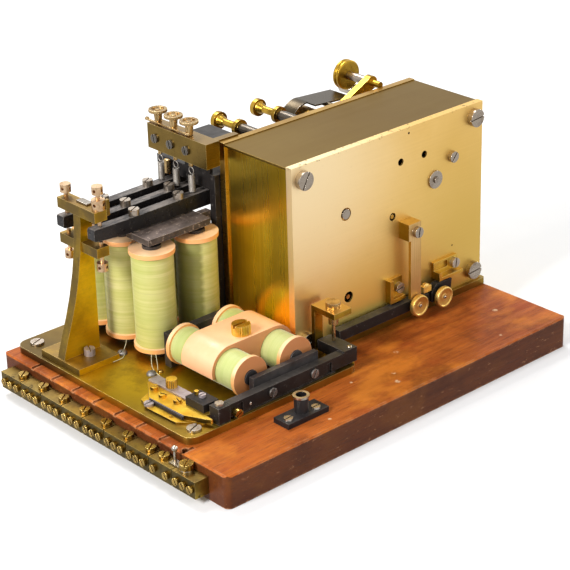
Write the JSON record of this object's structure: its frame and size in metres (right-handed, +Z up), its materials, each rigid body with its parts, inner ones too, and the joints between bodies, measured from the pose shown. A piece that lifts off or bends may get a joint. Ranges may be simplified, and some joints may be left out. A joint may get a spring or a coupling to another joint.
{
  "type": "telegraph instrument",
  "caption": "Clockwork telegraph recorder: brass movement case, upright magnets with writing levers, relay with release gear and a terminal row on a wooden board.",
  "frame": {"origin": "centre of the board's underside", "axes": "+X along the board from the terminals to the case, +Y from the plug socket side towards the tape side, +Z up"},
  "size_m": [0.3123, 0.226, 0.1706],
  "materials": {
    "mahogany": "french-polished mahogany, worn edges",
    "brass": "brushed and lacquered, slightly darkened",
    "bright_brass": "turned, bright",
    "steel": "turned steel, lightly tarnished",
    "black_iron": "black japanned iron, worn at the edges",
    "grey_iron": "bare soft iron, weathered",
    "silk": "pale green silk-covered wire",
    "fibre": "salmon vulcanised fibre",
    "ebonite": "black hard rubber",
    "blue_steel": "blued spring steel"
  },
  "bodies": {
    "instrument": {"baseboard": "mahogany", "terminal_blocks": "brass", "terminal_clamp_screws": "bright_brass", "terminal_front_screws": "steel", "terminal_link": "steel", "base_plate": "brass", "base_plate_screws": "steel", "near_plate": "brass", "far_plate": "brass", "case_covers": "brass", "case_pillars": "brass", "case_screws": "steel", "guide_posts": "steel", "tape_shoe": "steel", "tape_drum": "bright_brass", "lever_frame": "black_iron", "lever_pivot_rod": "steel", "tension_bar": "brass", "stop_post": "brass", "stop_screws": "bright_brass", "magnet_cores": "grey_iron", "coil_windings": "silk", "coil_flanges": "fibre", "relay_saddle": "fibre", "relay_clamp_screw": "bright_brass", "relay_frame": "black_iron", "relay_contacts": "bright_brass", "relay_bracket": "brass", "relay_stop_screw": "bright_brass", "case_angles": "brass", "release_spring": "brass", "release_disc": "bright_brass", "hand_disc": "bright_brass", "plug_socket": "ebonite", "tension_springs": "steel"},
    "writing_lever_a": {"lever_a": "black_iron", "armature_a": "grey_iron", "lever_fittings_a": "steel"},
    "writing_lever_b": {"lever_b": "black_iron", "armature_b": "grey_iron", "lever_fittings_b": "steel"},
    "writing_lever_c": {"lever_c": "black_iron", "armature_c": "grey_iron", "lever_fittings_c": "steel"},
    "tension_screw_a": {"tension_screw_a": "bright_brass"},
    "tension_screw_b": {"tension_screw_b": "bright_brass"},
    "tension_screw_c": {"tension_screw_c": "bright_brass"},
    "relay_rocker": {"relay_lever": "black_iron", "relay_armature": "grey_iron"},
    "release": {"release_lever": "black_iron"},
    "hand": {"hand_lever": "black_iron"},
    "barrel": {"spring_barrel": "bright_brass", "mainspring": "blue_steel"},
    "arbor": {"winding_arbor": "steel"},
    "centre": {"centre_wheel": "bright_brass"},
    "third": {"third_wheel": "bright_brass"},
    "fly": {"governor": "bright_brass"},
    "feed": {"feed_roller": "steel"},
    "pressure": {"pressure_arm": "bright_brass"},
    "presser": {"pressure_wheel": "bright_brass"}
  },
  "joints": [
    {"name": "lever_a_rock", "type": "hinge", "parent": "instrument", "child": "writing_lever_a", "pos_m": [-0.015, 0.0469, 0.116], "axis": [0, -1, 0], "range_deg": [0, 0.9], "stiffness_Nm_per_rad": 6, "springref_deg": -2.86, "deforming": ["tension_springs"]},
    {"name": "lever_b_rock", "type": "hinge", "parent": "instrument", "child": "writing_lever_b", "pos_m": [-0.015, 0.0627, 0.116], "axis": [0, -1, 0], "range_deg": [0, 0.9], "stiffness_Nm_per_rad": 6, "springref_deg": -2.86, "deforming": ["tension_springs"]},
    {"name": "lever_c_rock", "type": "hinge", "parent": "instrument", "child": "writing_lever_c", "pos_m": [-0.015, 0.0785, 0.116], "axis": [0, -1, 0], "range_deg": [0, 0.9], "stiffness_Nm_per_rad": 6, "springref_deg": -2.86, "deforming": ["tension_springs"]},
    {"name": "tension_screw_a_turn", "type": "hinge", "parent": "instrument", "child": "tension_screw_a", "pos_m": [-0.0375, 0.0469, 0.165], "axis": [0, 0, 1], "continuous": true},
    {"name": "tension_screw_b_turn", "type": "hinge", "parent": "instrument", "child": "tension_screw_b", "pos_m": [-0.0375, 0.0627, 0.165], "axis": [0, 0, 1], "continuous": true},
    {"name": "tension_screw_c_turn", "type": "hinge", "parent": "instrument", "child": "tension_screw_c", "pos_m": [-0.0375, 0.0785, 0.165], "axis": [0, 0, 1], "continuous": true},
    {"name": "relay_rock", "type": "hinge", "parent": "instrument", "child": "relay_rocker", "pos_m": [-0.064, -0.066, 0.0325], "axis": [-1, 0, 0], "range_deg": [0, 2.5], "stiffness_Nm_per_rad": 0.4, "springref_deg": -17.19},
    {"name": "release_rock", "type": "hinge", "parent": "instrument", "child": "release", "pos_m": [0.0752, -0.0408, 0.0335], "axis": [0, -1, 0], "range_deg": [0, 0.68]},
    {"name": "hand_lever_turn", "type": "hinge", "parent": "instrument", "child": "hand", "pos_m": [0.0993, -0.0418, 0.0316], "axis": [0, 1, 0], "range_deg": [0, 8]},
    {"name": "barrel_spin", "type": "hinge", "parent": "instrument", "child": "barrel", "pos_m": [0.102, 0, 0.113], "axis": [0, 1, 0], "continuous": true},
    {"name": "winding_turn", "type": "hinge", "parent": "instrument", "child": "arbor", "pos_m": [0.102, 0.045, 0.113], "axis": [0, 1, 0], "continuous": true},
    {"name": "centre_spin", "type": "hinge", "parent": "instrument", "child": "centre", "pos_m": [0.06236, 0, 0.09794], "axis": [0, 1, 0], "continuous": true},
    {"name": "third_spin", "type": "hinge", "parent": "instrument", "child": "third", "pos_m": [0.04865, 0, 0.06815], "axis": [0, 1, 0], "continuous": true},
    {"name": "governor_spin", "type": "hinge", "parent": "instrument", "child": "fly", "pos_m": [0.0219, 0, 0.0537], "axis": [0, 1, 0], "continuous": true},
    {"name": "feed_spin", "type": "hinge", "parent": "instrument", "child": "feed", "pos_m": [0.12866, 0, 0.14389], "axis": [0, 1, 0], "continuous": true},
    {"name": "pressure_arm_lift", "type": "hinge", "parent": "instrument", "child": "pressure", "pos_m": [0.096, 0.0435, 0.1464], "axis": [0, -1, 0], "range_deg": [0, 35]},
    {"name": "pressure_wheel_spin", "type": "hinge", "parent": "pressure", "child": "presser", "pos_m": [0.12, 0.067, 0.1574], "axis": [0, 1, 0], "continuous": true}
  ],
  "couplings": [
    {"joint": "centre_spin", "follows": "barrel_spin", "ratio": -5.625},
    {"joint": "third_spin", "follows": "barrel_spin", "ratio": 32.812},
    {"joint": "governor_spin", "follows": "barrel_spin", "ratio": -175},
    {"joint": "feed_spin", "follows": "barrel_spin", "ratio": -7.5},
    {"joint": "release_rock", "follows": "relay_rock", "ratio": 0.27}
  ]
}
